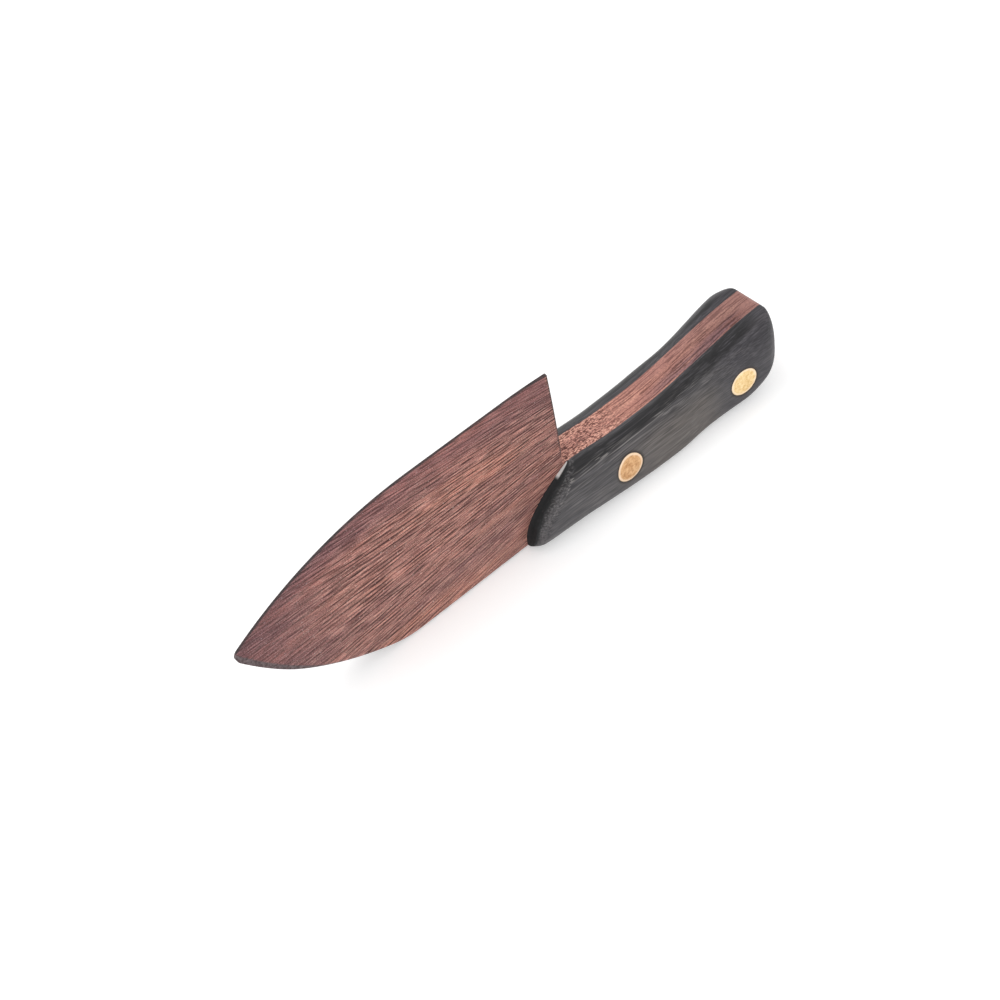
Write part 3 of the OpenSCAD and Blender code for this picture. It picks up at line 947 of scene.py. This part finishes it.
def pin_brass():
    """Brass sanded flush: a speckle, faint scratches, a painted highlight around the rim and a painted
    brighter reflection on the rear pin.
    """
    s = Shader("pin_brass")
    p = s.xyz()
    speck = s.grain(p, (0.9, 0.9, 0.9), detail=4, rough=0.75)
    scratch = s.grain(p, (0.5, 3.0, 5.0), detail=3)
    tone = s.share(0.75, speck, scratch)
    plain, rear_reflection = s.ramp(tone, BRASS_TONES), s.ramp(tone, REFLECTION_TONES)
    # Painted reflection: the brass toward the rear pin is painted brighter.
    colour = s.blend("MIX", s.between(p[0], *REFLECTION_X), plain, rear_reflection)
    # A painted highlight around each pin's rim.
    for place in PIN_X.values():
        rim = s.band(from_pin(s, p, place), *PIN_HIGHLIGHT_R)
        colour = s.blend("MIX", s.times(rim, 0.65), colour, PIN_RIM_HIGHLIGHT)
    s.put(s.bsdf.inputs["Base Color"], colour)
    s.bsdf.inputs["Metallic"].default_value = 1.0
    s.put(s.bsdf.inputs["Roughness"], s.plus(s.times(scratch, SCRATCH_ROUGH), BRASS_ROUGH))
    s.bump(tone, BRASS_DEPTH)
    return s.material


# Stage, light and camera

VIEW_TURN, VIEW_TIP, VIEW_ROLL = -32.897, 48.480, -11.326
VIEW_AIM, VIEW_BACK, VIEW_LENS = (-21.8, 0, 20.52), 535.508, 68.4
SKY_LIGHT, FLOOR_GREY, FLOOR_LIFT = 0.9, 0.86, 0.3
FLOOR_HALF, FLOOR_DROP = 1.5, 0.0002
LAMP_AIM = Vector((0, 0, 0.02))


def camera():
    """The photograph's view: turned, tipped and rolled about a point near the heel."""
    az, el, roll = (math.radians(a) for a in (VIEW_TURN, VIEW_TIP, VIEW_ROLL))
    back = Vector((math.sin(az) * math.cos(el), -math.cos(az) * math.cos(el), math.sin(el)))
    flat = Vector((math.cos(az), math.sin(az), 0))
    rise = back.cross(flat)
    right = math.cos(roll) * flat + math.sin(roll) * rise
    up = back.cross(right)
    data = bpy.data.cameras.new("camera")
    data.sensor_width, data.lens = 36.0, VIEW_LENS
    data.clip_start, data.clip_end = 0.01, 20
    obj = bpy.data.objects.new("camera", data)
    place = at(*VIEW_AIM) + back * VIEW_BACK * MM
    obj.matrix_world = Matrix.Translation(place) @ Matrix((right, up, back)).transposed().to_4x4()
    bpy.context.scene.collection.objects.link(obj)
    bpy.context.scene.camera = obj


def lamp(name, place, size, power):
    """A soft round lamp that points at the knife."""
    data = bpy.data.lights.new(name, "AREA")
    data.shape, data.size, data.energy = "DISK", size, power
    obj = bpy.data.objects.new(name, data)
    obj.location = place
    obj.rotation_mode = "QUATERNION"
    obj.rotation_quaternion = (LAMP_AIM - Vector(place)).to_track_quat("-Z", "Y")
    bpy.context.scene.collection.objects.link(obj)


def seen(tree):
    """1 for rays that show the background: from the camera, in gloss or through glass."""
    path = tree.nodes.new("ShaderNodeLightPath")
    last = path.outputs["Is Camera Ray"]
    for name in ("Is Glossy Ray", "Is Transmission Ray"):
        n = tree.nodes.new("ShaderNodeMath")
        n.operation = "MAXIMUM"
        tree.links.new(last, n.inputs[0])
        tree.links.new(path.outputs[name], n.inputs[1])
        last = n.outputs[0]
    return last


def world():
    """Even light from all around, and plain white where the background itself is seen."""
    w = bpy.data.worlds.new("studio")
    bpy.context.scene.world = w
    w.use_nodes = True
    tree = w.node_tree
    light = tree.nodes["Background"]
    light.inputs["Color"].default_value = (1, 1, 1, 1)
    light.inputs["Strength"].default_value = SKY_LIGHT
    white = tree.nodes.new("ShaderNodeBackground")
    white.inputs["Strength"].default_value = 1.0
    white.inputs["Color"].default_value = (1, 1, 1, 1)
    both = tree.nodes.new("ShaderNodeMixShader")
    tree.links.new(seen(tree), both.inputs[0])
    tree.links.new(light.outputs[0], both.inputs[1])
    tree.links.new(white.outputs[0], both.inputs[2])
    tree.links.new(both.outputs[0], tree.nodes["World Output"].inputs[0])


def floor():
    """A pale floor that takes shadows and is lifted to white where it is seen."""
    mesh = bpy.data.meshes.new("floor")
    h = FLOOR_HALF
    mesh.from_pydata([(-h, -h, 0), (h, -h, 0), (h, h, 0), (-h, h, 0)], [], [(0, 1, 2, 3)])
    obj = bpy.data.objects.new("floor", mesh)
    obj.location.z = -FLOOR_DROP
    bpy.context.scene.collection.objects.link(obj)
    m = bpy.data.materials.new("floor_white")
    m.use_nodes = True
    tree = m.node_tree
    tree.nodes.clear()
    out = tree.nodes.new("ShaderNodeOutputMaterial")
    matt = tree.nodes.new("ShaderNodeBsdfDiffuse")
    matt.inputs["Color"].default_value = (FLOOR_GREY, FLOOR_GREY, FLOOR_GREY, 1)
    glow = tree.nodes.new("ShaderNodeEmission")
    lift = tree.nodes.new("ShaderNodeMath")
    lift.operation = "MULTIPLY"
    lift.inputs[1].default_value = FLOOR_LIFT
    tree.links.new(seen(tree), lift.inputs[0])
    tree.links.new(lift.outputs[0], glow.inputs["Strength"])
    both = tree.nodes.new("ShaderNodeAddShader")
    tree.links.new(matt.outputs[0], both.inputs[0])
    tree.links.new(glow.outputs[0], both.inputs[1])
    tree.links.new(both.outputs[0], out.inputs[0])
    mesh.materials.append(m)


def main():
    red, dark, brass = blade_wood(), scale_wood(), pin_brass()
    make_blade(red)
    near = make_scale("scale_right_body", -1, dark, "scale_right")
    far = make_scale("scale_left_body", 1, dark, "scale_left")
    graph = bpy.context.evaluated_depsgraph_get()
    surface = {-1: BVHTree.FromObject(near, graph), 1: BVHTree.FromObject(far, graph)}
    for node in PIN_X:
        make_pin(node + "_rod", brass, node, surface)
    for scale in (near, far):
        bored(scale)
        mark_scale(scale)
    world()
    floor()
    lamp("key", place=(-0.25, 0.35, 0.9), size=0.7, power=2.5)
    lamp("fill", place=(-0.5, -0.8, 0.5), size=0.8, power=2.2)
    camera()
    bpy.context.scene.view_settings.view_transform = "Standard"


main()
